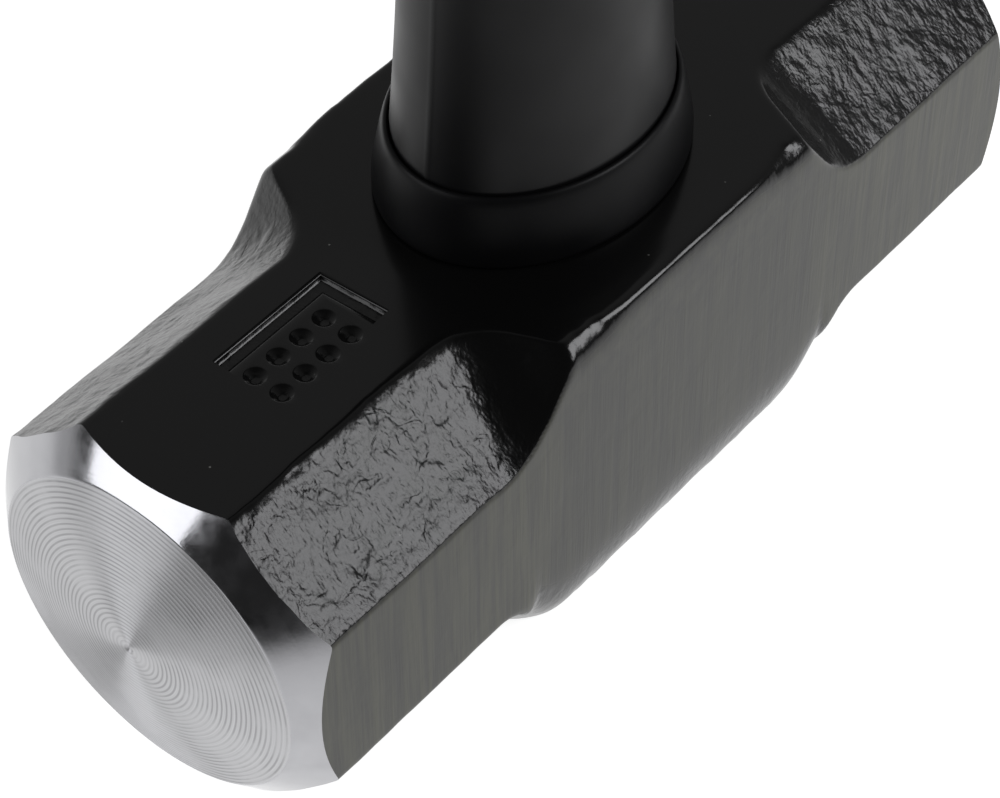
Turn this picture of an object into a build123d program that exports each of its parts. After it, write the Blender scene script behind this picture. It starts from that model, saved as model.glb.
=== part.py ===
"""Eight pound sledgehammer: a forged double-faced head on a bonded fibreglass handle.

Row frame, millimetres. The hammer stands on its head with the handle up. Z = 0 is the
side of the head that faces away from the handle and +Z runs up the handle. X runs from
one striking face to the other and Y across the cheeks.
"""

import os
from itertools import product
from math import cos, hypot, radians, sin

from build123d import *

os.makedirs("parts", exist_ok=True)

# ---- Driving dimensions ------------------------------------------------------------

overall_length = 914 * MM

# Head
head_length = 172.6 * MM
head_width = 58.4 * MM
head_height = 56.8 * MM
cheek_flat = 28.4 * MM
side_flat = 26.6 * MM
handle_side_edge_radius = 1.2 * MM
far_side_edge_radius = 4.3 * MM

# Run-out of the octagon's corner flats into the square middle of the head. The far side's
# scoops begin farther out, with a tighter hollow and a gentler slope.
scoop_start = 40.6 * MM
scoop_radius = 13 * MM
scoop_angle = 50
far_scoop_start = 43 * MM
far_scoop_radius = 8 * MM
far_scoop_angle = 38
crest_radius = 4 * MM
crest_margin = 0.3 * MM

# Turned striking faces
face_radius = 26.0 * MM
face_crown = 3.4 * MM
face_drop = 0.5 * MM
face_edge_radius = 1.5 * MM
bevel_rise = 0.87

# Eye through the head, wider on the far side so that the bond cannot pull out
eye_length = 35.0 * MM
eye_width = 25.5 * MM
eye_flare = 2.0 * MM
bond_recess = 1.2 * MM

# Fibreglass core
core_length = 28.0 * MM
core_width = 19.0 * MM

# Handle jacket: full at the head, slimmer along the shaft and stepped under the grip
root_length = 46.2 * MM
root_width = 35.4 * MM
waist_length = 37.5 * MM
waist_width = 29.0 * MM
waist_rise = 70 * MM
shaft_length = 34.0 * MM
shaft_width = 27.0 * MM
shaft_rise = 150 * MM
grip_seat_step = 1.0 * MM

# Collar that fairs the handle into the head
collar_height = 11.6 * MM
collar_bulge_height = 3.2 * MM
collar_foot_length = 50.8 * MM
collar_foot_width = 39.2 * MM
collar_bulge_length = 52.4 * MM
collar_bulge_width = 40.8 * MM
collar_rim = 0.7 * MM

# Rubber grip and butt cap
grip_length = 300 * MM
grip_wall = 3.0 * MM
straight_share = 0.75
butt_swell = 5.0 * MM
groove_count = 16
groove_pitch = 12 * MM
groove_offset = 1.5
groove_width = 3 * MM
groove_depth = 1.0 * MM
cap_height = 12 * MM
cap_spigot = 8 * MM
cap_edge_radius = 5 * MM

# ---- Worked out from them ----------------------------------------------------------

head_centre = (0, 0, head_height / 2)
turned_axis = Axis((0, 0, head_height / 2 - face_drop), (1, 0, 0))
cut_margin = 2 * MM
beyond_face = head_length / 2 + cut_margin

# The corner flat joins the edge of the side flat to the edge of the cheek flat
flat_run_y = (head_width - side_flat) / 2
flat_run_z = (head_height - cheek_flat) / 2
corner_y = flat_run_z / hypot(flat_run_y, flat_run_z)
corner_z = flat_run_y / hypot(flat_run_y, flat_run_z)
corner_flat = corner_y * head_width / 2 + corner_z * cheek_flat / 2
corner_full = corner_y * head_width / 2 + corner_z * head_height / 2
crest_level = corner_full + crest_margin

face_ring = head_length / 2 - face_crown
bevel_outer_radius = corner_full + cut_margin
bevel_inner_end = face_ring - bevel_rise * (bevel_outer_radius - face_radius)

handle_start = head_height
collar_top = handle_start + collar_height
waist_height = handle_start + waist_rise
shaft_height = handle_start + shaft_rise
grip_start = overall_length - cap_height - grip_length
grip_end = overall_length - cap_height
core_end = grip_end - cap_spigot

seat_length = shaft_length - 2 * grip_seat_step
seat_width = shaft_width - 2 * grip_seat_step


def oval_at(height, length, width):
    """Oval profile on a level plane: length along X, width along Y."""
    with BuildSketch(Plane.XY.offset(height)) as oval:
        Ellipse(length / 2, width / 2)
    return oval.sketch


# ---- Forged head -------------------------------------------------------------------

with BuildPart() as head:
    # Rectangular bar, its far edges rounder than the edges on the handle's side
    with BuildSketch(Plane(head_centre, x_dir=(0, 1, 0), z_dir=(1, 0, 0))) as bar_section:
        Rectangle(head_width, head_height)
        fillet(bar_section.vertices().group_by(Axis.Y)[-1], handle_side_edge_radius)
        fillet(bar_section.vertices().group_by(Axis.Y)[0], far_side_edge_radius)
    extrude(amount=head_length / 2, both=True)

    # Corner flats that make both ends octagonal and scoop out towards the middle
    for side_y, side_z in product((-1, 1), repeat=2):
        if side_z > 0:
            start, hollow, angle = scoop_start, scoop_radius, scoop_angle
        else:
            start, hollow, angle = far_scoop_start, far_scoop_radius, far_scoop_angle
        normal = Vector(0, side_y * corner_y, side_z * corner_z)
        corner_plane = Plane(head_centre, x_dir=(1, 0, 0), z_dir=Vector(1, 0, 0).cross(normal))
        with BuildSketch(corner_plane):
            with BuildLine():
                flat = Line((beyond_face, corner_flat), (start, corner_flat))
                scoop = JernArc(flat @ 1, flat % 1, hollow, -angle)
                arcs_rise = (hollow + crest_radius) * (1 - cos(radians(angle)))
                ramp_length = (crest_level - corner_flat - arcs_rise) / sin(radians(angle))
                ramp = Line(scoop @ 1, scoop @ 1 + (scoop % 1) * ramp_length)
                crest = JernArc(ramp @ 1, ramp % 1, crest_radius, angle)
                Line(crest @ 1, (beyond_face, crest_level))
                Line((beyond_face, crest_level), (beyond_face, corner_flat))
            make_face()
            mirror(about=Plane.YZ)
        extrude(amount=head_width / 2, both=True, mode=Mode.SUBTRACT)

    # Both ends turned on one axis: a crowned face with a conical bevel round it
    with BuildSketch(Plane(turned_axis.position, x_dir=(1, 0, 0), z_dir=(0, -1, 0))) as turned:
        with BuildLine():
            crown = ThreePointArc(
                (head_length / 2, 0),
                (head_length / 2 - face_crown / 4, face_radius / 2),
                (face_ring, face_radius),
            )
            bevel = Line(crown @ 1, (bevel_inner_end, bevel_outer_radius))
            Line(bevel @ 1, (0, bevel_outer_radius))
            Line((0, bevel_outer_radius), (0, 0))
            Line((0, 0), (head_length / 2, 0))
        make_face()
        face_corner = turned.vertices().sort_by_distance((face_ring, face_radius))[0]
        fillet(face_corner, face_edge_radius)
        mirror(about=Plane.YZ)
    revolve(axis=turned_axis, mode=Mode.INTERSECT)

    # Oval eye, flared towards the far side
    loft([
        oval_at(0, eye_length + 2 * eye_flare, eye_width + 2 * eye_flare),
        oval_at(head_height, eye_length, eye_width),
    ], mode=Mode.SUBTRACT)
head.part.label = "head"
export_step(head.part, "parts/head.step")

# ---- Handle core and the resin that bonds it in the eye ------------------------------

with BuildPart() as fibreglass_core:
    with BuildSketch(Plane.XY.offset(bond_recess)):
        Ellipse(core_length / 2, core_width / 2)
    extrude(amount=core_end - bond_recess)
fibreglass_core.part.label = "fibreglass_core"
export_step(fibreglass_core.part, "parts/fibreglass_core.step")

with BuildPart() as eye_resin:
    loft([
        oval_at(0, eye_length + 2 * eye_flare, eye_width + 2 * eye_flare),
        oval_at(head_height, eye_length, eye_width),
    ])
    split(bisect_by=Plane.XY.offset(bond_recess), keep=Keep.TOP)
    add(fibreglass_core.part, mode=Mode.SUBTRACT)
eye_resin.part.label = "eye_resin"
export_step(eye_resin.part, "parts/eye_resin.step")

# ---- Moulded jacket over the core ----------------------------------------------------

with BuildPart() as handle_jacket:
    with BuildSketch(Plane.XY.offset(handle_start)):
        Ellipse(root_length / 2, root_width / 2)
    extrude(amount=collar_height)
    loft([
        oval_at(collar_top, root_length, root_width),
        oval_at(waist_height, waist_length, waist_width),
        oval_at(shaft_height, shaft_length, shaft_width),
    ])
    with BuildSketch(Plane.XY.offset(shaft_height)):
        Ellipse(shaft_length / 2, shaft_width / 2)
    extrude(amount=grip_start - shaft_height)
    with BuildSketch(Plane.XY.offset(grip_start)):
        Ellipse(seat_length / 2, seat_width / 2)
    extrude(amount=core_end - grip_start)
    add(fibreglass_core.part, mode=Mode.SUBTRACT)
handle_jacket.part.label = "handle_jacket"
export_step(handle_jacket.part, "parts/handle_jacket.step")

# ---- Collar seated on the head ---------------------------------------------------------

with BuildPart() as collar:
    loft([
        oval_at(handle_start, collar_foot_length, collar_foot_width),
        oval_at(handle_start + collar_bulge_height, collar_bulge_length, collar_bulge_width),
        oval_at(collar_top, root_length + 2 * collar_rim, root_width + 2 * collar_rim),
    ])
    with BuildSketch(Plane.XY.offset(handle_start)):
        Ellipse(root_length / 2, root_width / 2)
    extrude(amount=collar_height, mode=Mode.SUBTRACT)
collar.part.label = "collar"
export_step(collar.part, "parts/collar.step")

# ---- Rubber grip -------------------------------------------------------------------------

with BuildPart() as rubber_grip:
    grip_oval_length = shaft_length + 2 * grip_wall
    grip_oval_width = shaft_width + 2 * grip_wall
    loft([
        oval_at(grip_start, grip_oval_length, grip_oval_width),
        oval_at(grip_start + grip_length * straight_share, grip_oval_length, grip_oval_width),
        oval_at(grip_end, grip_oval_length + butt_swell, grip_oval_width + butt_swell),
    ])
    with BuildSketch(Plane.XY.offset(grip_start)):
        Ellipse(seat_length / 2, seat_width / 2)
    extrude(amount=grip_length, mode=Mode.SUBTRACT)
    # Shallow grooves round the hand's place
    for groove in range(groove_count):
        with BuildSketch(Plane.XY.offset(grip_start + (groove + groove_offset) * groove_pitch)):
            Ellipse(grip_oval_length, grip_oval_width)
            Ellipse(
                grip_oval_length / 2 - groove_depth,
                grip_oval_width / 2 - groove_depth,
                mode=Mode.SUBTRACT,
            )
        extrude(amount=groove_width, mode=Mode.SUBTRACT)
rubber_grip.part.label = "rubber_grip"
export_step(rubber_grip.part, "parts/rubber_grip.step")

# ---- Butt cap ------------------------------------------------------------------------------

with BuildPart() as butt_cap:
    with BuildSketch(Plane.XY.offset(grip_end)):
        Ellipse((grip_oval_length + butt_swell) / 2, (grip_oval_width + butt_swell) / 2)
    extrude(amount=cap_height)
    fillet(butt_cap.edges().sort_by(Axis.Z)[-1], cap_edge_radius)
    with BuildSketch(Plane.XY.offset(core_end)):
        Ellipse(seat_length / 2, seat_width / 2)
    extrude(amount=cap_spigot)
butt_cap.part.label = "butt_cap"
export_step(butt_cap.part, "parts/butt_cap.step")

steel_density = 7.85e-6
print(f"head mass {head.part.volume * steel_density:.3f} kg")
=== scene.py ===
"""Sledgehammer: an add-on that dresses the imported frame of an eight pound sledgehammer.

The frame holds the sizes. Each operator makes one piece, or a group of like pieces, as a
surface worked out from a formula, and gives it a material made for its real finish.
"""

from itertools import product

import bpy
import numpy as np
from bpy.props import FloatProperty, FloatVectorProperty, IntProperty, PointerProperty
from mathutils import Matrix, Vector


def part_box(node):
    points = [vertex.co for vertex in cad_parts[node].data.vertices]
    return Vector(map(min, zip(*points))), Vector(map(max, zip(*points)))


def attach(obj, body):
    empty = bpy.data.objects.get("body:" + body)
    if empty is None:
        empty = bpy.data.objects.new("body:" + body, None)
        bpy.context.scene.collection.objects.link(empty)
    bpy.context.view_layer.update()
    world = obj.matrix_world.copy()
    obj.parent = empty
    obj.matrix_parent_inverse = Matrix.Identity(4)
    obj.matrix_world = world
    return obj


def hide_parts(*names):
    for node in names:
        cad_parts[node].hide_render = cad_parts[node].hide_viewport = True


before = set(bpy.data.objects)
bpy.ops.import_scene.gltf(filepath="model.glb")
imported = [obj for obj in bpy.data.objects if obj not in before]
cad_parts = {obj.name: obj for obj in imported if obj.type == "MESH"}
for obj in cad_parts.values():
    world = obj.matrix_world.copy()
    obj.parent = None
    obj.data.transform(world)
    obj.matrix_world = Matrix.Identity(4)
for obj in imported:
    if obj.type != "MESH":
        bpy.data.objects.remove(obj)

bl_info = {
    "name": "Sledgehammer",
    "version": (1, 0, 0),
    "blender": (4, 5, 0),
    "location": "3D Viewport > Sidebar > Sledgehammer",
    "description": "Forged head, turned faces, collar, handle, grip and cap of a sledgehammer",
    "category": "Add Mesh",
}

MM = 0.001
BODY = "root"

# The eye's oval on the handle's side of the head, and what each half axis gains by the far side
EYE_LONG = 35.0 * MM
EYE_WIDE = 25.5 * MM
EYE_FLARE = 2.0 * MM

# The weight mark: a bent groove, and rows of punch marks, one mark for each pound. The places
# are in millimetres from the head's centre.
MARK_LINE = ((-58.8, 5.9), (-38.6, 5.9), (-38.2, -4.6))
MARK_WIDTH = 2.4 * MM
PUNCH_COLUMNS = 4
PUNCH_ROWS = 2
PUNCH_FIRST = (-57.2, 1.2)
PUNCH_STEP = (4.6, -4.8)
PUNCH_RADIUS = 1.6 * MM
PUNCH_DEPTH = 1.0 * MM

# The camera's sensor in millimetres, its sideways and upward offset, and its lens's rise
SENSOR_WIDTH = 36
CAMERA_ACROSS = -4.94 * MM
CAMERA_UP = -16.06 * MM
LENS_RISE = 0.0015


# ---- Sizes read from the frame -----------------------------------------------

def frame_box(node):
    """Lowest and highest corner of a CAD node, as arrays in metres."""
    low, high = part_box(node)
    return np.array(low), np.array(high)


HEAD_LOW, HEAD_HIGH = frame_box("head")
HEAD_CENTRE = (HEAD_LOW + HEAD_HIGH) / 2
HALF_LENGTH, HALF_WIDTH, HALF_HEIGHT = (HEAD_HIGH - HEAD_LOW) / 2
COLLAR_LOW, COLLAR_HIGH = frame_box("collar")
JACKET_LOW, JACKET_HIGH = frame_box("handle_jacket")
GRIP_LOW, GRIP_HIGH = frame_box("rubber_grip")
CAP_LOW, CAP_HIGH = frame_box("butt_cap")


# ---- Colour and node helpers -------------------------------------------------

def linear(hex_colour):
    """Linear RGBA of an sRGB hex colour such as #1a2b3c."""
    srgb = np.array([int(hex_colour[i:i + 2], 16) for i in (1, 3, 5)]) / 255
    low = srgb / 12.92
    high = ((srgb + 0.055) / 1.055) ** 2.4
    return (*np.where(srgb <= 0.04045, low, high).tolist(), 1.0)


def add_node(tree, kind, inputs=None, **settings):
    """Adds a shader node. Inputs maps a socket to a value, or to the output that feeds it."""
    node = tree.nodes.new("ShaderNode" + kind)
    for name, value in settings.items():
        setattr(node, name, value)
    for socket, value in (inputs or {}).items():
        if isinstance(value, bpy.types.NodeSocket):
            tree.links.new(value, node.inputs[socket])
        else:
            node.inputs[socket].default_value = value
    return node


def new_material(name):
    """An empty node material, and its tree."""
    material = bpy.data.materials.new(name)
    material.use_nodes = True
    material.node_tree.nodes.clear()
    return material, material.node_tree


def finish_material(tree, **sockets):
    """Ends a material with one Principled shader. Sockets are its inputs, by name."""
    inputs = {name.replace("_", " "): value for name, value in sockets.items()}
    shader = add_node(tree, "BsdfPrincipled", inputs)
    add_node(tree, "OutputMaterial", {"Surface": shader.outputs["BSDF"]})


def math(tree, operation, first, second=0.0):
    """Output of a Math node."""
    return add_node(tree, "Math", {0: first, 1: second}, operation=operation).outputs[0]


def ramp(tree, value, low, high, to_low=0.0, to_high=1.0):
    """Output that goes smoothly from to_low to to_high as value goes from low to high."""
    inputs = {
        "Value": value, "From Min": low, "From Max": high, "To Min": to_low, "To Max": to_high,
    }
    return add_node(tree, "MapRange", inputs, interpolation_type="SMOOTHSTEP").outputs[0]


def noise(tree, vector, grain, detail=2.0, roughness=0.5, squeeze=(1, 1, 1)):
    """Noise output whose lumps are grain metres across, longer where squeeze is under 1."""
    scaled = add_node(tree, "Mapping", {"Vector": vector, "Scale": squeeze})
    inputs = {
        "Vector": scaled.outputs[0],
        "Scale": 1 / grain,
        "Detail": detail,
        "Roughness": roughness,
    }
    return add_node(tree, "TexNoise", inputs).outputs["Fac"]


def mix_colour(tree, factor, first, second):
    """Output that goes from the first colour to the second."""
    inputs = {"Factor": factor, 6: first, 7: second}
    return add_node(tree, "Mix", inputs, data_type="RGBA").outputs[2]


def dust(tree, vector, spacing, size):
    """One on fine specks of dust of about that size, one to a cell of that spacing, else nought."""
    cells = add_node(tree, "TexVoronoi", {"Vector": vector, "Scale": 1 / spacing})
    reach = size / spacing
    speck = ramp(tree, cells.outputs["Distance"], reach * 0.5, reach, 1.0, 0.0)
    pick = add_node(tree, "SeparateColor", {"Color": cells.outputs["Color"]}).outputs[0]
    return math(tree, "MULTIPLY", speck, ramp(tree, pick, 0.3, 0.9))


# ---- Mesh helpers ------------------------------------------------------------

def closed_faces(rows, columns, ring=False):
    """Quads of a grid whose columns wrap round, and whose rows wrap too if it is a ring."""
    last = rows if ring else rows - 1
    row = np.arange(last)[:, None]
    column = np.arange(columns)[None, :]
    above = (row + 1) % rows
    beside = (column + 1) % columns
    corners = (
        row * columns + column,
        row * columns + beside,
        above * columns + beside,
        above * columns + column,
    )
    return np.stack([np.broadcast_to(c, (last, columns)) for c in corners], -1).reshape(-1, 4)


def fan_faces(first, columns, pole):
    """Triangles from a ring of vertices to its pole."""
    start = first + np.arange(columns)
    end = first + (np.arange(columns) + 1) % columns
    return np.stack([start, end, np.full(columns, pole)], -1)


def signed_volume(points, faces):
    """Volume inside the faces, negative where they point inwards: the sum of a.(b x c) / 6."""
    a, b, c = (points[faces[:, i]] for i in range(3))
    total = np.einsum("ij,ij->i", a, np.cross(b, c)).sum()
    if faces.shape[1] == 4:
        d = points[faces[:, 3]]
        total += np.einsum("ij,ij->i", a, np.cross(c, d)).sum()
    return total / 6


def solid_mesh(name, grid, ring=False):
    """Closed mesh through a grid of points, rows by columns, its end rows drawn to their poles."""
    rows, columns = grid.shape[:2]
    points = grid.reshape(-1, 3)
    quads = closed_faces(rows, columns, ring)
    fans = np.empty((0, 3), int)
    if not ring:
        poles = np.stack([grid[0].mean(0), grid[-1].mean(0)])
        first = fan_faces(0, columns, len(points))[:, ::-1]
        last = fan_faces((rows - 1) * columns, columns, len(points) + 1)
        fans = np.concatenate([first, last])
        points = np.concatenate([points, poles])
    volume = signed_volume(points, quads)
    if len(fans):
        volume += signed_volume(points, fans)
    if volume < 0:
        quads = quads[:, ::-1]
        fans = fans[:, ::-1]
    mesh = bpy.data.meshes.new(name)
    mesh.from_pydata(points.tolist(), [], quads.tolist() + fans.tolist())
    mesh.update()
    return mesh


def show_piece(name, mesh, materials, slot, *nodes, sharp=50):
    """Puts a finished mesh into the scene in place of its CAD nodes, smooth up to an angle."""
    mesh.shade_smooth()
    mesh.set_sharp_from_angle(angle=np.radians(sharp))
    for material in materials:
        mesh.materials.append(material)
    piece = bpy.data.objects.new(name, mesh)
    bpy.context.scene.collection.objects.link(piece)
    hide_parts(*nodes)
    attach(piece, BODY)
    return piece


def carve(mesh, cutters):
    """The mesh with the cutter meshes taken out of it."""
    body = bpy.data.objects.new("carved", mesh)
    bpy.context.scene.collection.objects.link(body)
    tools = []
    for cutter in cutters:
        tool = bpy.data.objects.new("cutter", cutter)
        bpy.context.scene.collection.objects.link(tool)
        tools.append(tool)
        cut = body.modifiers.new("cut", "BOOLEAN")
        cut.operation = "DIFFERENCE"
        cut.solver = "MANIFOLD"
        cut.object = tool
    bpy.context.view_layer.update()
    depsgraph = bpy.context.evaluated_depsgraph_get()
    carved = bpy.data.meshes.new_from_object(body.evaluated_get(depsgraph))
    carved.materials.clear()
    carved.polygons.foreach_set("material_index", np.zeros(len(carved.polygons), np.int32))
    for used in [body, *tools]:
        bpy.data.objects.remove(used)
    return carved


# ---- Shape helpers -----------------------------------------------------------

def stretches(stops, steps):
    """Positions from stop to stop, each stretch divided evenly into steps of about its own size."""
    runs = [np.array(stops[:1])]
    for low, high, step in zip(stops[:-1], stops[1:], steps):
        count = max(1, round((high - low) / step))
        runs.append(np.linspace(low, high, count + 1)[1:])
    return np.concatenate(runs)


def ease(value, low, high):
    """Nought below low, one above high, and 3t^2 - 2t^3 between them."""
    t = np.clip((value - low) / (high - low), 0, 1)
    return t * t * (3 - 2 * t)


def soft_least(first, second, blend):
    """The lesser of two arrays, rounded where they cross: -b log(exp(-x/b) + exp(-y/b))."""
    return -blend * np.logaddexp(-first / blend, -second / blend)


def lump_noise(points, grain, seed):
    """Smooth noise from -1 to 1: random values on a cubic lattice of that grain, blended by
    6t^5 - 15t^4 + 10t^3 along each axis."""
    table = np.random.default_rng(seed).uniform(-1, 1, 4096)
    place = points / grain
    cell = np.floor(place).astype(np.int64)
    t = place - cell
    t = t ** 3 * (t * (t * 6 - 15) + 10)
    total = np.zeros(points.shape[:-1])
    for corner in product((0, 1), repeat=3):
        x, y, z = np.moveaxis(cell + corner, -1, 0)
        value = table[(x * 73856093 ^ y * 19349663 ^ z * 83492791) % len(table)]
        weight = np.where(corner, t, 1 - t).prod(-1)
        total += value * weight
    return total


def oval_rings(half_long, half_wide, height, columns):
    """Ovals (a cos t, b sin t, z), one row for each entry of the three equal arrays."""
    t = np.linspace(0, 2 * np.pi, columns, endpoint=False)
    x = half_long[:, None] * np.cos(t)
    y = half_wide[:, None] * np.sin(t)
    z = np.broadcast_to(np.asarray(height)[:, None], x.shape)
    return np.stack([x, y, z], -1)


# ---- Settings ----------------------------------------------------------------

def length_property(name, description, default):
    """A length in metres that the user may change."""
    return FloatProperty(
        name=name, description=description, default=default, min=0.0, unit="LENGTH", precision=5
    )


def angle_property(name, description, degrees):
    """An angle that the user may change."""
    return FloatProperty(
        name=name, description=description, default=np.radians(degrees), subtype="ANGLE"
    )


def colour_property(name, description, hex_colour):
    """A linear colour that the user may change."""
    return FloatVectorProperty(
        name=name, description=description, default=linear(hex_colour), size=4,
        min=0.0, max=1.0, subtype="COLOR",
    )


class HeadSettings(bpy.types.PropertyGroup):
    """Sizes and colours of the forged head."""

    cheek_flat: length_property(
        "Cheek flat", "Height of the flat cheek between the corner flats", 28.4 * MM
    )
    side_flat: length_property(
        "Side flat", "Width of the flat side between the corner flats", 26.6 * MM
    )
    scoop_start: length_property(
        "Scoop start", "Distance from the middle at which the corner flats begin to rise", 39 * MM
    )
    scoop_radius: length_property("Scoop radius", "Radius of the scoop's hollow", 13 * MM)
    scoop_angle: angle_property("Scoop angle", "Slope at which the scoop reaches the middle", 50)
    scoop_shift: length_property(
        "Scoop shift", "How much farther out the near scoops begin at the cheek", 3.3 * MM
    )
    far_scoop_start: length_property("Far scoop start", "Scoop start on the far side", 43 * MM)
    far_scoop_radius: length_property("Far scoop radius", "Scoop radius on the far side", 8 * MM)
    far_scoop_angle: angle_property("Far scoop angle", "Scoop angle on the far side", 38)
    lump_depth: length_property("Forged lumps", "Depth of the forged skin's lumps", 0.2 * MM)
    lacquer: colour_property("Lacquer", "Colour of the lacquer", "#0c0c0c")
    seed: IntProperty(name="Seed", description="Picks the forged skin's lumps", default=8)


class FaceSettings(bpy.types.PropertyGroup):
    """Sizes and colours of the turned striking faces."""

    radius: length_property("Face radius", "Radius of the crowned face", 26.0 * MM)
    crown: length_property("Crown", "Height of the crown", 3.4 * MM)
    drop: length_property("Drop", "How far the turned axis lies below the forging's", 0.5 * MM)
    bevel_rise: FloatProperty(
        name="Bevel rise", description="Fall of the bevel for each unit of radius", default=0.87
    )
    groove_pitch: length_property("Groove pitch", "Spacing of the turned grooves", 0.75 * MM)
    groove_depth: length_property("Groove depth", "Depth of the turned grooves", 0.055 * MM)
    steel: colour_property("Steel", "Colour of the turned steel", "#c8c8ca")


class HandleSettings(bpy.types.PropertyGroup):
    """Sizes and colours of the collar, handle, grip and cap."""

    shaft_long: length_property("Shaft length", "Long way across the shaft", 34 * MM)
    shaft_wide: length_property("Shaft width", "Short way across the shaft", 27 * MM)
    taper: length_property(
        "Taper", "Height in which the root's extra girth falls to about a third", 61 * MM
    )
    grip_wall: length_property("Grip wall", "Thickness of the grip over the shaft", 3 * MM)
    groove_count: IntProperty(name="Grooves", description="Grooves in the grip", default=16, min=0)
    groove_pitch: length_property("Groove spacing", "Spacing of the grip's grooves", 12 * MM)
    plastic: colour_property("Plastic", "Colour of the moulded plastic", "#0e0e0f")
    rubber: colour_property("Rubber", "Colour of the rubber grip", "#111111")


class StageSettings(bpy.types.PropertyGroup):
    """Camera and light."""

    azimuth: angle_property("Azimuth", "Camera's turn about the hammer", -50.39)
    elevation: angle_property("Elevation", "Camera's height as an angle", 47.37)
    roll: angle_property("Roll", "Camera's roll", -0.32)
    distance: length_property("Distance", "Camera to the head's centre", 488.9 * MM)
    lens: FloatProperty(name="Lens", description="Focal length", default=118.96, unit="CAMERA")
    floor: colour_property("Floor", "Colour of the floor", "#ffffff")
    back_glow: FloatProperty(
        name="Back glow", description="Brightness of the floor behind the hammer", default=0.9
    )


# ---- Forged head -------------------------------------------------------------

def bevel_height(settings, radius):
    """Distance of the bevel's cone from the head's middle, at a radius from the turned axis."""
    ring = HALF_LENGTH - settings.crown
    return ring - settings.bevel_rise * (radius - settings.radius)


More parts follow.
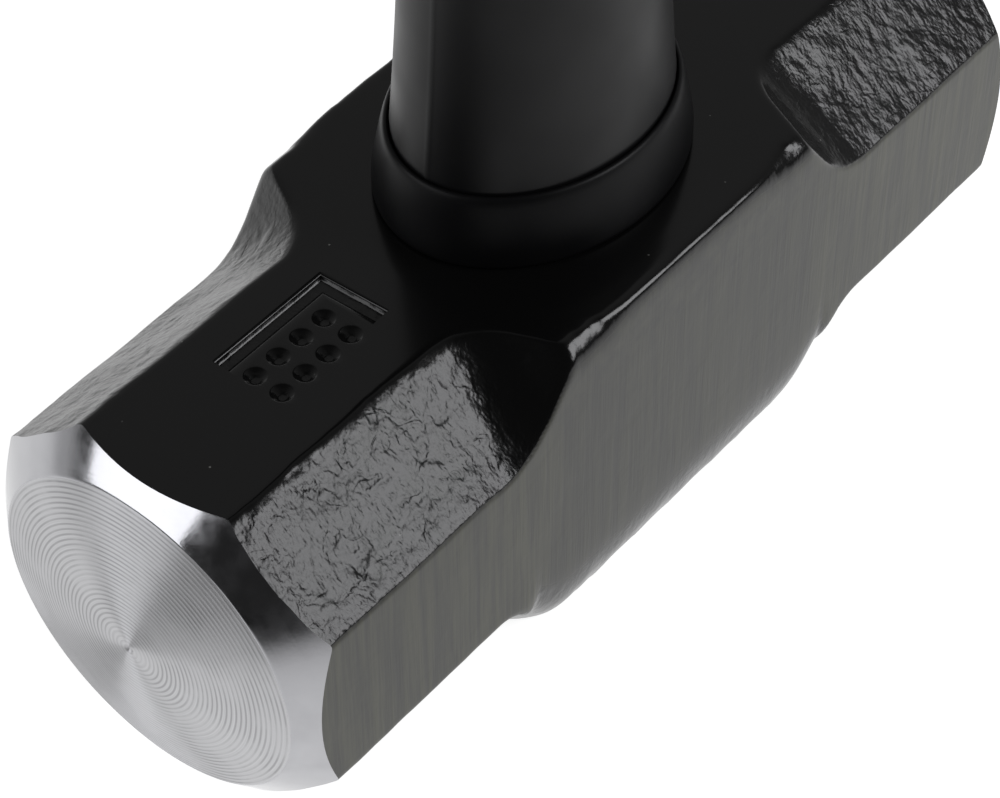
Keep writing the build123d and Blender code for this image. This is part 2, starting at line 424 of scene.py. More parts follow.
class HeadShape:
    """The forging's outer surface, as a radius about its long axis.

    A cross-section is the part of a rectangle that lies inside its corner flats. Along the
    direction at angle t each plane is met at distance b / (n.d(t)), and the section's radius is
    the p-norm of these: r = (sum of (n.d / b)^p)^(-1/p), so that a large p leaves crisp edges
    and a small one round edges. The sides and corner flats are joined first, softly, and the
    ground cheeks then cut them crisply.
    """

    side_power = 150
    edge_power_end = 170
    edge_power_handle_side = 60
    edge_power_far_side = 16
    # Radius, in half widths, at which a direction's place across its corner flat is read
    lean_radius = 1.13

    def __init__(self, settings, faces):
        self.settings = settings
        self.faces = faces
        run_y = HALF_WIDTH - settings.side_flat / 2
        run_z = HALF_HEIGHT - settings.cheek_flat / 2
        self.flat_width = np.hypot(run_y, run_z)
        self.normal = np.array([run_z, run_y]) / self.flat_width
        self.along = np.array([-run_y, run_z]) / self.flat_width
        self.cheek_edge = np.array([HALF_WIDTH, settings.cheek_flat / 2])
        self.flat_reach = self.normal @ self.cheek_edge

    def angles(self):
        """Angles round the section: dense on the corner flats and at their edges, and sparse
        on the flats of the cheeks and sides."""
        cheek = self.settings.cheek_flat / 2
        side = self.settings.side_flat / 2
        near = 1.0 * MM
        middle = 2.0 * MM
        half = self.flat_width / 2
        stops = [0, cheek - near, cheek + near, cheek + half - middle, cheek + half + middle]
        stops += [cheek + 2 * half - near, cheek + 2 * half + near, cheek + 2 * half + side]
        steps = np.array([1.5, 0.27, 0.5, 0.33, 0.5, 0.27, 1.5]) * MM
        path = stretches(stops, steps)
        corners = np.array([0, cheek, cheek + 2 * half, cheek + 2 * half + side])
        y = np.interp(path, corners, [HALF_WIDTH, HALF_WIDTH, side, 0])
        z = np.interp(path, corners, [0, cheek, HALF_HEIGHT, HALF_HEIGHT])
        quarter = np.arctan2(z, y)
        upper = np.concatenate([quarter, np.pi - quarter[-2::-1]])
        return np.concatenate([upper, np.pi + upper[1:-1]])

    def scoop(self, x, above):
        """Reach of the corner flat at distance x from the middle: level, then a hollow arc, then
        a straight ramp up to the narrow flat that is left along the middle's edges. The far
        side's scoops start farther out, bend more sharply and run out more softly."""
        s = self.settings
        hollow = np.where(above, s.scoop_radius, s.far_scoop_radius)
        slope = np.where(above, s.scoop_angle, s.far_scoop_angle)
        inside = np.maximum(np.where(above, s.scoop_start, s.far_scoop_start) - x, 0)
        on_arc = np.minimum(inside, hollow * np.sin(slope))
        rise = hollow - np.sqrt(hollow ** 2 - on_arc ** 2)
        ramp_reach = self.flat_reach + rise + (inside - on_arc) * np.tan(slope)
        corner_reach = self.normal @ np.array([HALF_WIDTH, HALF_HEIGHT])
        shy = np.where(above, (0.3 + 1.35 * ease(x, 7 * MM, 24 * MM)) * MM, 1.8 * MM)
        blend = np.where(above, 0.4 * MM, 1.1 * MM)
        return soft_least(ramp_reach, corner_reach - shy, blend)

    def forged_skin(self, points):
        """Height of the forged skin: long and short lumps, less the creases where a third noise
        is near nought and a fourth is high."""
        depth = self.settings.lump_depth
        seed = self.settings.seed
        lumps = depth * lump_noise(points, 8 * MM, seed)
        lumps += 0.4 * depth * lump_noise(points, 3.4 * MM, seed + 1)
        fine = 0.17 * depth * lump_noise(points, 1.5 * MM, seed + 2)
        crease = 1 - ease(np.abs(lump_noise(points, 2.9 * MM, seed + 3)), 0.0, 0.22)
        crease *= ease(lump_noise(points, 3.7 * MM, seed + 4), 0.1, 0.5)
        from_start = self.settings.scoop_start - np.abs(points[..., 0])
        scooped = 1 - 0.65 * ease(from_start, 4 * MM, 10 * MM)
        chipped = lump_noise(points, 1.9 * MM, seed + 5)
        chipped = chipped + 0.6 * lump_noise(points, 5 * MM, seed + 6)
        chipped *= 0.2 * MM * ease(from_start, 12 * MM, 16 * MM)
        return (lumps + fine - 0.4 * depth * crease) * scooped + chipped

    def radius(self, angle, x, skin=0.0):
        """Radius of the section at that angle and distance along the head."""
        far = np.abs(x)
        direction = np.stack([np.abs(np.cos(angle)), np.abs(np.sin(angle))], -1)
        lean = direction @ self.along * self.lean_radius * HALF_WIDTH
        across = np.clip((lean - self.along @ self.cheek_edge) / self.flat_width, 0, 1)
        above = np.sin(angle) > 0
        shifted = above & (np.cos(angle) < 0)
        reach = self.scoop(far - self.settings.scoop_shift * (1 - across) * shifted, above)
        cheek = np.log(np.maximum(direction[..., 0] / HALF_WIDTH, 1e-9))
        side = np.log(np.maximum(direction[..., 1] / HALF_HEIGHT, 1e-9))
        flat = np.log(direction @ self.normal / (reach + skin))
        forged = np.logaddexp(side * self.side_power, flat * self.side_power) / self.side_power
        power = np.where(above, self.edge_power_handle_side, self.edge_power_far_side)
        outwards = np.where(above, ease(far, 25 * MM, 36 * MM), ease(far, 34 * MM, 42 * MM))
        power = power + (self.edge_power_end - power) * outwards
        return np.exp(-np.logaddexp(cheek * power, forged * power) / power)

    def point(self, angle, x, radius):
        """The point at that angle, distance along the head and radius, about the head's centre."""
        place = np.stack([x, radius * np.cos(angle), radius * np.sin(angle)], -1)
        return place + HEAD_CENTRE

    def skinned_radius(self, angle, x):
        """Radius with the forged skin added to the corner flats."""
        bare = self.radius(angle, x)
        return self.radius(angle, x, self.forged_skin(self.point(angle, x, bare)))

    def ends(self, angle, side):
        """Where the bevel cuts the forging: x = bevel(r(x)), with r from the turned axis, found
        by putting x back in until it settles."""
        x = np.full(angle.shape, HALF_LENGTH - 6 * MM)
        for _ in range(8):
            radius = self.skinned_radius(angle, side * x)
            y = radius * np.cos(angle)
            z = radius * np.sin(angle) + self.faces.drop
            x = bevel_height(self.faces, np.hypot(y, z))
        return x, y, z

    def body_grid(self):
        """Rows of points from one end's boundary to the other's, and in to the axis at each."""
        angle = self.angles()
        last_row = 72 * MM
        middle = 19 * MM
        inner = stretches([-last_row, -middle, middle, last_row], np.array([0.49, 1.6, 0.49]) * MM)
        share = np.linspace(0, 1, 17)[1:]
        x_right = last_row + share[:, None] * (self.ends(angle, 1)[0] - last_row)
        x_left = -last_row - share[::-1, None] * (self.ends(angle, -1)[0] - last_row)
        x = np.concatenate([x_left, np.repeat(inner[:, None], len(angle), 1), x_right])
        turn = np.broadcast_to(angle, x.shape)
        return self.point(turn, x, self.skinned_radius(turn, x))


def eye_cutter():
    """Tapered oval plug, wider at the far side, that cuts the eye."""
    beyond = 2 * MM
    height = np.array([-beyond, 2 * HALF_HEIGHT + beyond])
    widen = EYE_FLARE * (1 - height / (2 * HALF_HEIGHT))
    rings = oval_rings(EYE_LONG / 2 + widen, EYE_WIDE / 2 + widen, height, 96)
    return solid_mesh("eye", rings)


def groove_cutter(corners, width):
    """Bar along a bent line on the handle's side of the head, wider at the surface than below:
    its section is carried to each corner along the bisector of the two runs."""
    runs = np.diff(corners, axis=0)
    runs /= np.linalg.norm(runs, axis=1)[:, None]
    sides = np.stack([-runs[:, 1], runs[:, 0]], -1)
    mitre = np.concatenate([sides[:1], sides[:-1] + sides[1:], sides[-1:]])
    mitre[1:-1] /= (1 + (sides[:-1] * sides[1:]).sum(1))[:, None]
    half = width / 2
    outer = np.array([
        [0.9, 0.5], [0.32, 0], [0.1, -0.09], [0, -0.25], [-0.1, -0.65], [-0.3, -0.85],
    ])
    inner = np.array([
        [-0.55, -0.85], [-0.1, -0.42], [0.12, -0.2], [0.35, -0.08], [0.75, 0], [1.5, 0.5],
    ])
    offset = np.concatenate([half + outer[:, 0] * MM, -half - inner[:, 0] * MM])
    level = np.concatenate([outer[:, 1], inner[:, 1]]) * MM
    flat = corners[:, None] + offset[None, :, None] * mitre[:, None]
    top = np.broadcast_to(HEAD_HIGH[2] + level, flat.shape[:2])
    return solid_mesh("groove", np.concatenate([flat, top[..., None]], -1))


def punch_cutter(x, y, radius, depth):
    """Round punch with sloping sides and a slightly hollow floor."""
    share = np.array([1.45, 1.1, 1.0, 0.45, 0.3])
    level = np.array([0.5 * MM, 0.0, -0.06 * MM, -depth * 0.94, -depth])
    rings = oval_rings(radius * share, radius * share, HEAD_HIGH[2] + level, 32)
    return solid_mesh("punch", rings + np.array([x, y, 0]))


def weight_mark():
    """Cutters of the weight mark: an angled groove, and a punch mark for each pound."""
    cutters = [groove_cutter(np.array(MARK_LINE) * MM, MARK_WIDTH)]
    for column, row in product(range(PUNCH_COLUMNS), range(PUNCH_ROWS)):
        x = (PUNCH_FIRST[0] + PUNCH_STEP[0] * column) * MM
        y = (PUNCH_FIRST[1] + PUNCH_STEP[1] * row) * MM
        cutters.append(punch_cutter(x, y, PUNCH_RADIUS, PUNCH_DEPTH))
    return cutters


def lacquered_steel(settings):
    """Black stoving lacquer over steel, forged on the corner flats and ground on the cheeks.

    The lacquer gives a clear mirror of the studio on black. The forging shows through it as
    creases and pits, and the grinding as fine upright lines.
    """
    material, tree = new_material("black_lacquer_over_forged_steel")
    place = add_node(tree, "TexCoord").outputs["Object"]
    axes = add_node(tree, "SeparateXYZ", {"Vector": place}).outputs
    out_y = math(tree, "ABSOLUTE", axes["Y"])
    out_z = math(tree, "ABSOLUTE", math(tree, "SUBTRACT", axes["Z"], float(HEAD_CENTRE[2])))
    cheek = ramp(tree, out_y, HALF_WIDTH - 0.3 * MM, HALF_WIDTH - 0.04 * MM)
    side = ramp(tree, out_z, HALF_HEIGHT - 1.2 * MM, HALF_HEIGHT - 0.02 * MM)
    forged = math(tree, "SUBTRACT", 1.0, math(tree, "MAXIMUM", cheek, side))
    out_x = math(tree, "ABSOLUTE", axes["X"])
    forged = math(tree, "MULTIPLY", forged, ramp(tree, out_x, 31 * MM, 38 * MM, 0.35, 1.0))
    peel = noise(tree, place, 1.9 * MM, detail=2.5, roughness=0.55, squeeze=(1.25, 0.8, 0.8))
    wrinkle = add_node(tree, "TexNoise", {
        "Vector": place, "Scale": 1 / (4.2 * MM), "Detail": 2.5, "Distortion": 0.9,
    }).outputs["Fac"]
    fold = math(tree, "ABSOLUTE", math(tree, "SUBTRACT", wrinkle, 0.5))
    patch = ramp(tree, noise(tree, place, 3.0 * MM), 0.38, 0.62)
    fold = math(tree, "MULTIPLY", ramp(tree, fold, 0.0, 0.09, -1.0, 0.0), patch)
    fine_lines = noise(tree, place, 0.6 * MM, detail=3.0, roughness=0.6, squeeze=(1, 1, 0.03))
    broad_lines = noise(tree, place, 1.6 * MM, detail=3.0, roughness=0.65, squeeze=(1, 1, 0.06))
    fine_lines = math(tree, "MULTIPLY", fine_lines, 0.4)
    lines = math(tree, "ADD", fine_lines, math(tree, "MULTIPLY", broad_lines, 0.6))
    peel = math(tree, "MULTIPLY", peel, 2.2)
    forged_height = math(tree, "ADD", peel, math(tree, "MULTIPLY", fold, 0.3))
    forged_height = math(tree, "MULTIPLY", forged_height, forged)
    worn = ramp(tree, noise(tree, place, 9 * MM, detail=3.0), 0.35, 0.6, 0.2, 0.5)
    cheek_height = math(tree, "MULTIPLY", math(tree, "MULTIPLY", lines, worn), cheek)
    height = math(tree, "ADD", forged_height, cheek_height)
    bump = add_node(tree, "Bump", {"Strength": 1.0, "Distance": 0.105 * MM, "Height": height})
    upper = ramp(tree, axes["Z"], HEAD_HIGH[2] - 15 * MM, HEAD_HIGH[2] - 6 * MM)
    mottle = noise(tree, place, 2.6 * MM, detail=4.0, roughness=0.6)
    mid = ramp(tree, out_x, 26 * MM, 36 * MM, 0.8, 0.0)
    smooth = math(tree, "MULTIPLY", upper, mid)
    shade = add_node(tree, "Mix", {"Factor": smooth, "A": lines, "B": mottle}).outputs[0]
    ground = mix_colour(tree, ramp(tree, shade, 0.34, 0.66), linear("#11110a"), linear("#313122"))
    ground = mix_colour(tree, math(tree, "MULTIPLY", mid, 0.6), ground, linear("#060604"))
    speck = dust(tree, place, 4.5 * MM, 0.2 * MM)
    speck = math(tree, "MULTIPLY", speck, 0.5)
    black = mix_colour(tree, speck, tuple(settings.lacquer), linear("#9a9a96"))
    colour = mix_colour(tree, cheek, black, ground)
    roughness = math(tree, "ADD", math(tree, "MULTIPLY", cheek, 0.16), 0.16)
    roughness = math(tree, "ADD", math(tree, "MULTIPLY", forged, 0.1), roughness)
    finish_material(
        tree, Base_Color=colour, Roughness=roughness, Normal=bump.outputs[0], IOR=1.42
    )
    return material


class SLEDGE_OT_head(bpy.types.Operator):
    """Makes the forged, lacquered body of the head."""

    bl_idname = "sledge.head"
    bl_label = "Forged Head"

    def execute(self, context):
        shape = HeadShape(context.scene.sledge_head, context.scene.sledge_faces)
        block = solid_mesh("head_block", shape.body_grid())
        carved = carve(block, [eye_cutter(), *weight_mark()])
        piece = show_piece(
            "head_body", carved, [lacquered_steel(context.scene.sledge_head)],
            "lacquered_steel", "head", sharp=40,
        )
        weighted = piece.modifiers.new("weighted", "WEIGHTED_NORMAL")
        weighted.keep_sharp = True
        return {"FINISHED"}


# ---- Striking faces ----------------------------------------------------------

def face_height(settings, radius, place):
    """Distance of the turned surface from the head's middle: a sphere's cap with the tool's
    scallops, -d |sin(pi r / pitch)|, and a small pit at the axis, falling away at the rim as a
    cone, and rounded where the two meet."""
    sphere = (settings.radius ** 2 + settings.crown ** 2) / (2 * settings.crown)
    cap = HALF_LENGTH - sphere + np.sqrt(sphere ** 2 - radius ** 2)
    chatter = lump_noise(place, 7 * MM, 3)
    phase = np.pi * (radius / settings.groove_pitch + 0.1 * chatter)
    depth = settings.groove_depth * (1 + 0.45 * lump_noise(place, 5 * MM, 4))
    grooves = -depth * np.abs(np.sin(phase)) * ease(radius, 0.8 * MM, 4 * MM)
    pit = -0.35 * MM * (1 - ease(radius, 0.0, 0.9 * MM))
    return soft_least(cap + grooves + pit, bevel_height(settings, radius), 0.08 * MM)


def face_grid(shape, settings, side):
    """Rows of points from the turned axis out to the forging's edge."""
    edge_x, edge_y, edge_z = shape.ends(shape.angles(), side)
    edge_radius = np.hypot(edge_y, edge_z)
    rim = settings.radius
    stops = [0.3 * MM, rim - 0.5 * MM, rim + 0.5 * MM]
    crowned = stretches(stops, [settings.groove_pitch / 5, 0.1 * MM])
    share = np.linspace(0, 1, 13)[1:]
    bevel = crowned[-1] + share[:, None] * (edge_radius - crowned[-1])
    radius = np.concatenate([np.repeat(crowned[:, None], len(edge_x), 1), bevel])
    turn = np.arctan2(edge_z, edge_y)
    place = np.stack([radius, radius * np.cos(turn), radius * np.sin(turn)], -1)
    place[..., 0] = side * face_height(settings, radius, place)
    place[-1, :, 0] = side * edge_x
    place[..., 2] -= settings.drop
    return place + HEAD_CENTRE


def turned_radius(tree, place, settings):
    """Output with the distance from the turned axis."""
    axis = (0, 0, float(HEAD_CENTRE[2] - settings.drop))
    centred = add_node(tree, "VectorMath", {0: place, 1: axis}, operation="SUBTRACT").outputs[0]
    flat = add_node(tree, "VectorMath", {0: centred, 1: (0, 1, 1)}, operation="MULTIPLY").outputs[0]
    return add_node(tree, "VectorMath", {0: flat}, operation="LENGTH").outputs["Value"]


def fine_rings(tree, radius, width):
    """Noise in rings about the turned axis, each about that wide."""
    inputs = {"W": radius, "Scale": 1 / width, "Detail": 3.0}
    return add_node(tree, "TexNoise", inputs, noise_dimensions="1D").outputs["Fac"]


def turned_steel(settings):
    """Bare steel turned on a lathe. The tool's feed marks draw light out into radial wedges. A
    painted shade greys the colour in rings at the groove pitch, in patches, for the grooves'
    shading."""
    material, tree = new_material("turned_steel")
    place = add_node(tree, "TexCoord").outputs["Object"]
    radius = turned_radius(tree, place, settings)
    rings = fine_rings(tree, radius, 0.22 * MM)
    turns = math(tree, "MULTIPLY", radius, 2 * np.pi / settings.groove_pitch)
    # Painted shade: a darker grey painted in rings at the groove pitch, darkest at the ridges
    # between the tool's scallops
    edges = ramp(tree, math(tree, "COSINE", turns), -0.2, 1.0)
    patch = ramp(tree, noise(tree, place, 9 * MM, detail=3.0), 0.35, 0.62, 0.25, 1.0)
    bright = mix_colour(tree, rings, linear("#b4b4b6"), tuple(settings.steel))
    colour = mix_colour(tree, math(tree, "MULTIPLY", edges, patch), bright, linear("#9c9c9e"))
    bump = add_node(tree, "Bump", {"Strength": 0.3, "Distance": 0.02 * MM, "Height": rings})
    tangent = add_node(tree, "Tangent", direction_type="RADIAL", axis="X")
    finish_material(
        tree, Base_Color=colour, Metallic=1.0, Roughness=0.42, Anisotropic=0.95,
        Anisotropic_Rotation=0.25, Tangent=tangent.outputs[0], Normal=bump.outputs[0],
    )
    return material


def polished_steel(settings):
    """The bevel's fine-turned steel, nearly a mirror, with fine rings and handling scratches."""
    material, tree = new_material("polished_steel_bevel")
    place = add_node(tree, "TexCoord").outputs["Object"]
    scratches = noise(tree, place, 0.5 * MM, detail=4.0, squeeze=(0.2, 1, 1))
    rings = fine_rings(tree, turned_radius(tree, place, settings), 0.3 * MM)
    height = math(tree, "ADD", math(tree, "MULTIPLY", rings, 0.7), scratches)
    clouds = noise(tree, place, 5 * MM, detail=3.0)
    roughness = ramp(tree, clouds, 0.3, 0.7, 0.09, 0.2)
    bump = add_node(tree, "Bump", {"Strength": 0.3, "Distance": 0.012 * MM, "Height": height})
    colour = mix_colour(tree, clouds, linear("#a0a0a3"), linear("#b6b6b9"))
    finish_material(
        tree, Base_Color=colour, Metallic=1.0, Roughness=roughness, Normal=bump.outputs[0]
    )
    return material


class SLEDGE_OT_faces(bpy.types.Operator):
    """Makes the two turned striking faces with their bevels."""

    bl_idname = "sledge.faces"
    bl_label = "Striking Faces"

    def execute(self, context):
        settings = context.scene.sledge_faces
        shape = HeadShape(context.scene.sledge_head, settings)
        materials = [turned_steel(settings), polished_steel(settings)]
        for name, side in (("striking_face_left", -1), ("striking_face_right", 1)):
            grid = face_grid(shape, settings, side)
            mesh = solid_mesh(name, grid)
            centres = np.empty(len(mesh.polygons) * 3)
            mesh.polygons.foreach_get("center", centres)
            offset = centres.reshape(-1, 3) - HEAD_CENTRE
            bevel = np.hypot(offset[:, 1], offset[:, 2] + settings.drop) > settings.radius
            show_piece(name, mesh, materials, "machined_steel", "head")
            mesh.polygons.foreach_set("material_index", bevel.astype(np.int32))
        return {"FINISHED"}


# ---- Bond in the eye ---------------------------------------------------------

def poured_resin():
    """Dark epoxy, poured and set: glossy, with a slow ripple and a few bubbles."""
    material, tree = new_material("poured_epoxy")
    place = add_node(tree, "TexCoord").outputs["Object"]
    ripple = noise(tree, place, 4 * MM)
    cells = add_node(tree, "TexVoronoi", {"Vector": place, "Scale": 1 / (3 * MM)})
    bubble = ramp(tree, cells.outputs["Distance"], 0.08, 0.16)
    height = math(tree, "ADD", math(tree, "MULTIPLY", ripple, 0.5), bubble)
    bump = add_node(tree, "Bump", {"Strength": 0.5, "Distance": 0.2 * MM, "Height": height})
    colour = mix_colour(tree, ripple, linear("#1c1712"), linear("#2c241b"))
    finish_material(tree, Base_Color=colour, Roughness=0.18, IOR=1.55, Normal=bump.outputs[0])
    return material


def sawn_fibreglass():
    """The sawn end of a glass rod: packed fibre ends, pale yellow green between darker resin."""
    material, tree = new_material("sawn_pultruded_fibreglass")
    place = add_node(tree, "TexCoord").outputs["Object"]
    cells = add_node(tree, "TexVoronoi", {"Vector": place, "Scale": 1 / (0.5 * MM)})
    cells = cells.outputs["Distance"]
    bands = noise(tree, place, 6 * MM, detail=3.0)
    fibres = mix_colour(tree, cells, linear("#c9c08e"), linear("#8f8557"))
    colour = mix_colour(tree, ramp(tree, bands, 0.35, 0.65), fibres, linear("#a79c6a"))
    bump = add_node(tree, "Bump", {"Strength": 0.5, "Distance": 0.05 * MM, "Height": cells})
    finish_material(tree, Base_Color=colour, Roughness=0.55, IOR=1.52, Normal=bump.outputs[0])
    return material


class SLEDGE_OT_bond(bpy.types.Operator):
    """Gives the resin and the core in the eye their finishes."""

    bl_idname = "sledge.bond"
    bl_label = "Bond in the Eye"

    def execute(self, context):
        finishes = {"eye_resin": poured_resin(), "fibreglass_core": sawn_fibreglass()}
        for node, material in finishes.items():
            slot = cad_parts[node].material_slots[0]
            slot.link = "OBJECT"
            slot.material = material
        return {"FINISHED"}


# ---- Collar and handle -------------------------------------------------------

def moulded_plastic(name, colour, roughness, grain, shine):
    """Moulded polypropylene: black with a soft sheen, a faint orange peel and a little dust."""
    material, tree = new_material(name)
    place = add_node(tree, "TexCoord").outputs["Object"]
    peel = noise(tree, place, grain, detail=3.0)
    clouds = noise(tree, place, 14 * MM)
    bump = add_node(tree, "Bump", {"Strength": 0.25, "Distance": 0.02 * MM, "Height": peel})
    gloss = ramp(tree, clouds, 0.3, 0.7, roughness * 0.9, roughness * 1.12)
    speck = dust(tree, place, 6 * MM, 0.2 * MM)
    dusty = mix_colour(tree, math(tree, "MULTIPLY", speck, 0.4), colour, linear("#8d8d8a"))
    finish_material(
        tree, Base_Color=dusty, Roughness=gloss, IOR=1.49, Specular_IOR_Level=shine,
        Normal=bump.outputs[0],
    )
    return material


def jacket_half_axes(settings, height):
    """Half axes of the handle: the root's at the collar, falling to the shaft's as
    exp(-z / taper)."""
    root = (JACKET_HIGH - JACKET_LOW)[:2] / 2
    shaft = np.array([settings.shaft_long, settings.shaft_wide]) / 2
    fall = np.exp(-np.maximum(height - COLLAR_HIGH[2], 0) / settings.taper)
    return shaft + (root - shaft) * fall[:, None]


def jacket_grid(settings):
    """The handle's outer surface. Its section is an oval of two halves that meet in a slight
    crease at the mould line, as 1 + c exp(-|t| / w) at each end of the oval, with a hair of
    flash, 1 + f exp(-(t / v)^2), on it."""
    heights = stretches(
        [JACKET_LOW[2], COLLAR_HIGH[2] + 60 * MM, GRIP_LOW[2] + 1 * MM], [1.0 * MM, 6 * MM]
    )
    columns = 240
    half = jacket_half_axes(settings, heights)
    grid = oval_rings(half[:, 0], half[:, 1], heights, columns)
    turn = np.linspace(0, 2 * np.pi, columns, endpoint=False)
    from_end = np.abs(np.arctan2(np.sin(2 * turn), np.cos(2 * turn))) / 2
    crease = 1 + 0.006 * np.exp(-from_end / 0.09)
    flash = 1 + 0.0025 * np.exp(-(from_end / 0.012) ** 2)
    grid[..., :2] *= (crease * flash)[None, :, None]
    return grid


def collar_grid():
    """Section of the collar carried round the oval: foot, bulged side, soft shoulder, thin rim,
    and back down against the handle."""
    root = (JACKET_HIGH - JACKET_LOW)[:2] / 2
    profile = np.array([
        [0.0, 0.15], [1.9, 0.15], [2.5, 0.16], [2.7, 0.28], [2.78, 0.6], [2.8, 1.0], [2.8, 1.6],
        [2.74, 2.6], [2.54, 4.0], [2.25, 5.6], [1.95, 7.2], [1.65, 8.8], [1.36, 10.1],
        [1.18, 10.75], [1.0, 11.15], [0.82, 11.42], [0.62, 11.56], [0.42, 11.6], [0.22, 11.52],
        [0.09, 11.3], [0.03, 11.0], [0.0, 10.2],
    ]) * MM
    offset, rise = profile.T
    return oval_rings(root[0] + offset, root[1] + offset, COLLAR_LOW[2] + rise, 240)


class SLEDGE_OT_collar(bpy.types.Operator):
    """Makes the moulded collar between the head and the handle."""

    bl_idname = "sledge.collar"
    bl_label = "Collar"

    def execute(self, context):
        settings = context.scene.sledge_handle
        mesh = solid_mesh("collar_moulding", collar_grid(), ring=True)
        plastic = moulded_plastic(
            "moulded_collar_plastic", tuple(settings.plastic), 0.42, 0.9 * MM, 0.12
        )
        show_piece("collar_moulding", mesh, [plastic], "collar_plastic", "collar")
        return {"FINISHED"}


class SLEDGE_OT_handle(bpy.types.Operator):
    """Makes the handle's moulded jacket."""

    bl_idname = "sledge.handle"
    bl_label = "Handle"

    def execute(self, context):
        settings = context.scene.sledge_handle
        mesh = solid_mesh("handle_moulding", jacket_grid(settings))
        plastic = moulded_plastic(
            "moulded_polypropylene", tuple(settings.plastic), 0.4, 0.8 * MM, 0.22
        )
        show_piece("handle_moulding", mesh, [plastic], "jacket_plastic", "handle_jacket")
        return {"FINISHED"}


# ---- Grip and cap ------------------------------------------------------------

def grip_grid(settings):
    """The grip's outer surface: the shaft's oval plus a wall, swelling at the butt, with a
    rounded lip, cosine grooves round it, and drawn in to the shaft at both ends."""
    low, high = GRIP_LOW[2], GRIP_HIGH[2]
    heights = stretches([low, low + 3 * MM, high], [0.25 * MM, 0.6 * MM])
    shaft = np.array([settings.shaft_long, settings.shaft_wide]) / 2
    swell = 2.5 * MM * ease(heights, low + 200 * MM, high)
    lip = np.sqrt(1 - (1 - np.clip((heights - low) / (2 * MM), 0, 1)) ** 2)
    wall = 0.2 * MM + (settings.grip_wall - 0.2 * MM) * lip
    place = (heights - low) / settings.groove_pitch - 1.5
    nearest = np.clip(np.round(place - 0.125), 0, settings.groove_count - 1)
    away = np.abs(place - 0.125 - nearest) * settings.groove_pitch
    groove = 1.0 * MM * (1 - ease(away, 0.6 * MM, 1.9 * MM))
    offset = wall + swell - groove
    return oval_rings(shaft[0] + offset, shaft[1] + offset, heights, 180)


def grip_rubber(settings):
    """Moulded rubber: matt black, with a fine stipple that breaks up the light."""
    material, tree = new_material("moulded_rubber")
    place = add_node(tree, "TexCoord").outputs["Object"]
    stipple = add_node(tree, "TexVoronoi", {"Vector": place, "Scale": 1 / (0.9 * MM)})
    stipple = stipple.outputs["Distance"]
    clouds = noise(tree, place, 12 * MM, detail=3.0)
    bump = add_node(tree, "Bump", {"Strength": 0.7, "Distance": 0.1 * MM, "Height": stipple})
    colour = mix_colour(tree, clouds, tuple(settings.rubber), linear("#191918"))
    roughness = ramp(tree, clouds, 0.3, 0.7, 0.5, 0.62)
    finish_material(tree, Base_Color=colour, Roughness=roughness, IOR=1.52, Normal=bump.outputs[0])
    return material


def cap_grid():
    """The cap's outer surface: the grip's end oval, rounded over the top as a quarter ellipse,
    with a shallow dished middle."""
    low, high = GRIP_HIGH[2], CAP_HIGH[2]
    half = (CAP_HIGH - CAP_LOW)[:2] / 2
    turn = np.linspace(0, np.pi / 2, 16)
    corner = 5 * MM
    top = high - low
    side_inset = np.array([1.0, 0.2, 0.0, 0.0]) * MM
    side_rise = np.array([0, 0, 0.3 * MM, top - corner])
    dish_inset = np.array([7.0, 8.0, 12.0]) * MM
    dish_rise = top - np.array([0.0, 0.6, 0.8]) * MM
    inset = np.concatenate([side_inset, corner * (1 - np.cos(turn)), dish_inset])
    rise = np.concatenate([side_rise, top - corner + corner * np.sin(turn), dish_rise])
    return oval_rings(half[0] - inset, half[1] - inset, low + rise, 160)


class SLEDGE_OT_grip(bpy.types.Operator):
    """Makes the rubber grip and the cap at the butt."""

    bl_idname = "sledge.grip"
    bl_label = "Grip and Cap"

    def execute(self, context):
        settings = context.scene.sledge_handle
        grip = solid_mesh("grip_sleeve", grip_grid(settings))
        show_piece("grip_sleeve", grip, [grip_rubber(settings)], "grip_rubber", "rubber_grip")
        cap = solid_mesh("cap_moulding", cap_grid())
        plastic = moulded_plastic(
            "moulded_cap_plastic", tuple(settings.plastic), 0.4, 0.7 * MM, 0.3
        )
        show_piece("cap_moulding", cap, [plastic], "cap_plastic", "butt_cap")
        return {"FINISHED"}


# ---- Stage -------------------------------------------------------------------

def add_softbox(name, direction, distance, size, radiance):
    """Rectangular area light that faces the head from a direction, very slightly blue. Its
    energy is four times the radiance times the area."""
    lamp = bpy.data.lights.new(name, "AREA")
    lamp.shape = "RECTANGLE"
    lamp.size, lamp.size_y = size
    lamp.energy = radiance * 4 * size[0] * size[1]
    lamp.color = (0.975, 0.98, 1.0)
    box = bpy.data.objects.new(name, lamp)
    towards = Vector(direction).normalized()
    box.location = Vector(HEAD_CENTRE) + towards * distance
    box.rotation_euler = towards.to_track_quat("Z", "Y").to_euler()
    box.visible_camera = False
    bpy.context.scene.collection.objects.link(box)


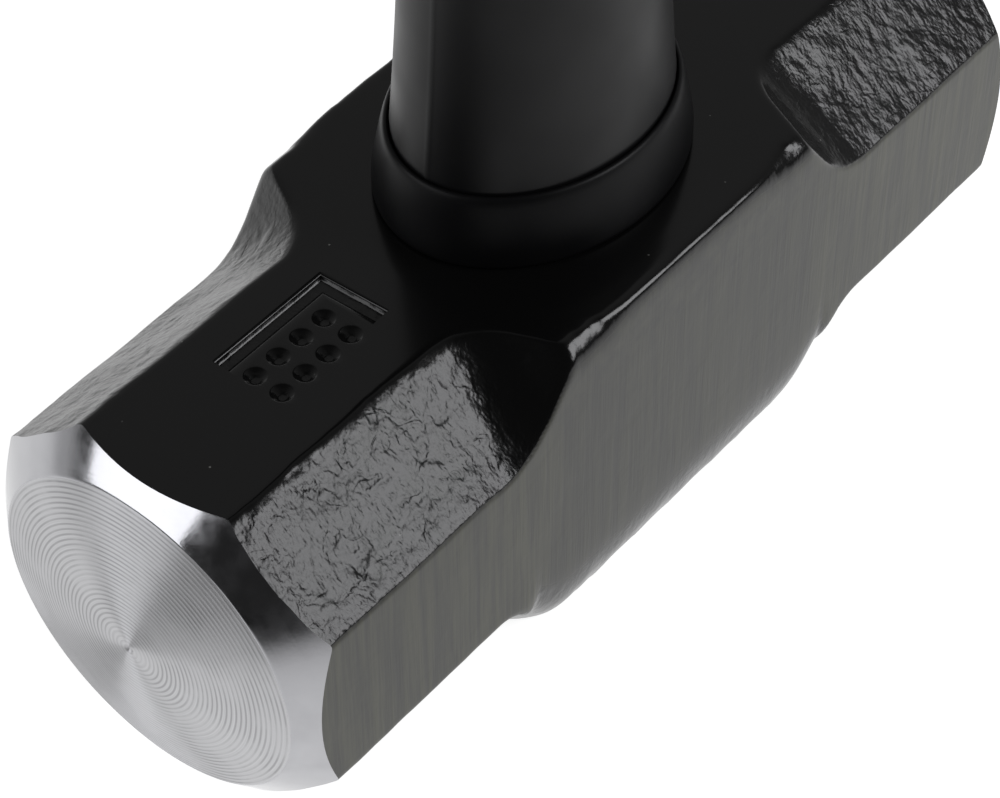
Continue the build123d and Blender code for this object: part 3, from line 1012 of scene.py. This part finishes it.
def add_floor(settings):
    """Plain pale floor, lit from within. The light that it gives the hammer falls away in front
    and far off, as if black cards stood there."""
    half = 12.0
    mesh = bpy.data.meshes.new("floor")
    corners = [(-half, -half, 0), (half, -half, 0), (half, half, 0), (-half, half, 0)]
    mesh.from_pydata(corners, [], [(0, 1, 2, 3)])
    material, tree = new_material("pale_floor")
    place = add_node(tree, "TexCoord").outputs["Object"]
    towards = (float(np.sin(settings.azimuth)), float(-np.cos(settings.azimuth)), 0)
    front = add_node(tree, "VectorMath", {0: place, 1: towards}, operation="DOT_PRODUCT")
    front = front.outputs["Value"]
    back_glow = ramp(tree, front, -60 * MM, 70 * MM, settings.back_glow, 0.87)
    fall = ramp(tree, front, 80 * MM, 420 * MM, 1.0, 0.0)
    reach = add_node(tree, "VectorMath", {0: place}, operation="LENGTH").outputs["Value"]
    glow = math(tree, "MULTIPLY", back_glow, fall)
    glow = math(tree, "MULTIPLY", glow, ramp(tree, reach, 180 * MM, 500 * MM, 1.0, 0.35))
    seen = add_node(tree, "LightPath").outputs["Is Camera Ray"]
    glow = add_node(tree, "Mix", {"Factor": seen, "A": glow, "B": settings.back_glow}).outputs[0]
    lit = math(tree, "MAXIMUM", fall, seen)
    finish_material(
        tree, Base_Color=mix_colour(tree, lit, linear("#1c1c1c"), linear("#b4b4b4")),
        Roughness=0.8, Emission_Color=tuple(settings.floor), Emission_Strength=glow,
    )
    mesh.materials.append(material)
    floor = bpy.data.objects.new("floor", mesh)
    bpy.context.scene.collection.objects.link(floor)


def add_world(settings):
    """Studio surround: a pale wall to the eye. The light that it gives the hammer is dim, and
    lighter behind than in front, as if black cards stood round it."""
    world = bpy.data.worlds.new("studio")
    bpy.context.scene.world = world
    world.use_nodes = True
    tree = world.node_tree
    tree.nodes.clear()
    away = (-float(np.sin(settings.azimuth)), float(np.cos(settings.azimuth)), 0.3)
    look = add_node(tree, "TexCoord").outputs["Generated"]
    behind = add_node(tree, "VectorMath", {0: look, 1: away}, operation="DOT_PRODUCT")
    level = ramp(tree, behind.outputs["Value"], 0.0, 0.85, 0.03, 0.27)
    up = add_node(tree, "SeparateXYZ", {"Vector": look}).outputs["Z"]
    wall = ramp(tree, behind.outputs["Value"], 0.75, 0.95)
    wall = math(tree, "MULTIPLY", wall, ramp(tree, up, 0.1, 0.3, 1.0, 0.0))
    level = math(tree, "ADD", level, math(tree, "MULTIPLY", wall, 0.35))
    seen = add_node(tree, "LightPath").outputs["Is Camera Ray"]
    level = add_node(tree, "Mix", {"Factor": seen, "A": level, "B": 0.93}).outputs[0]
    glow = add_node(tree, "Background", {"Color": (1, 1, 1, 1), "Strength": level})
    add_node(tree, "OutputWorld", {"Surface": glow.outputs[0]})


def add_camera(settings):
    """Camera that looks at the head from the given turn, height and distance."""
    a, e = settings.azimuth, settings.elevation
    back = Vector((np.sin(a) * np.cos(e), -np.cos(a) * np.cos(e), np.sin(e)))
    across = Vector((np.cos(a), np.sin(a), 0))
    upright = back.cross(across)
    shifted = across * CAMERA_ACROSS + upright * CAMERA_UP
    right = across * np.cos(settings.roll) + upright * np.sin(settings.roll)
    up = back.cross(right)
    camera = bpy.data.objects.new("camera", bpy.data.cameras.new("camera"))
    camera.matrix_world = Matrix((right, up, back)).transposed().to_4x4()
    camera.location = Vector(HEAD_CENTRE) + back * settings.distance + shifted
    camera.data.lens = settings.lens
    camera.data.sensor_width = SENSOR_WIDTH
    camera.data.shift_y = LENS_RISE
    camera.data.clip_start = 0.01
    camera.data.clip_end = 100
    bpy.context.scene.collection.objects.link(camera)
    bpy.context.scene.camera = camera


class SLEDGE_OT_stage(bpy.types.Operator):
    """Sets up the floor, the soft lights and the camera."""

    bl_idname = "sledge.stage"
    bl_label = "Stage"

    def execute(self, context):
        settings = context.scene.sledge_stage
        add_camera(settings)
        add_floor(settings)
        add_world(settings)
        add_softbox("softbox_front_right", (0.405, -0.76, 0.515), 1.3, (0.64, 0.6), 5.6)
        add_softbox("softbox_back_left", (-0.79, 0.46, 0.42), 1.3, (1.08, 0.8), 2.0)
        view = context.scene.view_settings
        view.view_transform = "Standard"
        view.look = "None"
        return {"FINISHED"}


# ---- Panel and registration --------------------------------------------------

STEPS = (
    SLEDGE_OT_stage,
    SLEDGE_OT_head,
    SLEDGE_OT_faces,
    SLEDGE_OT_bond,
    SLEDGE_OT_collar,
    SLEDGE_OT_handle,
    SLEDGE_OT_grip,
)
SETTINGS = {
    "sledge_head": HeadSettings,
    "sledge_faces": FaceSettings,
    "sledge_handle": HandleSettings,
    "sledge_stage": StageSettings,
}


class SLEDGE_PT_panel(bpy.types.Panel):
    """Lists the settings and the operators."""

    bl_idname = "SLEDGE_PT_panel"
    bl_label = "Sledgehammer"
    bl_space_type = "VIEW_3D"
    bl_region_type = "UI"
    bl_category = "Sledgehammer"

    def draw(self, context):
        for name, group in SETTINGS.items():
            box = self.layout.box()
            for setting in group.__annotations__:
                box.prop(getattr(context.scene, name), setting)
        for step in STEPS:
            self.layout.operator(step.bl_idname)


def register():
    for kind in (*SETTINGS.values(), *STEPS, SLEDGE_PT_panel):
        bpy.utils.register_class(kind)
    for name, group in SETTINGS.items():
        setattr(bpy.types.Scene, name, PointerProperty(type=group))


def unregister():
    for name in SETTINGS:
        delattr(bpy.types.Scene, name)
    for kind in reversed((*SETTINGS.values(), *STEPS, SLEDGE_PT_panel)):
        bpy.utils.unregister_class(kind)


def main():
    """Builds every piece."""
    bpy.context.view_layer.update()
    register()
    for step in STEPS:
        group, name = step.bl_idname.split(".")
        getattr(getattr(bpy.ops, group), name)()


if __name__ == "__main__":
    main()
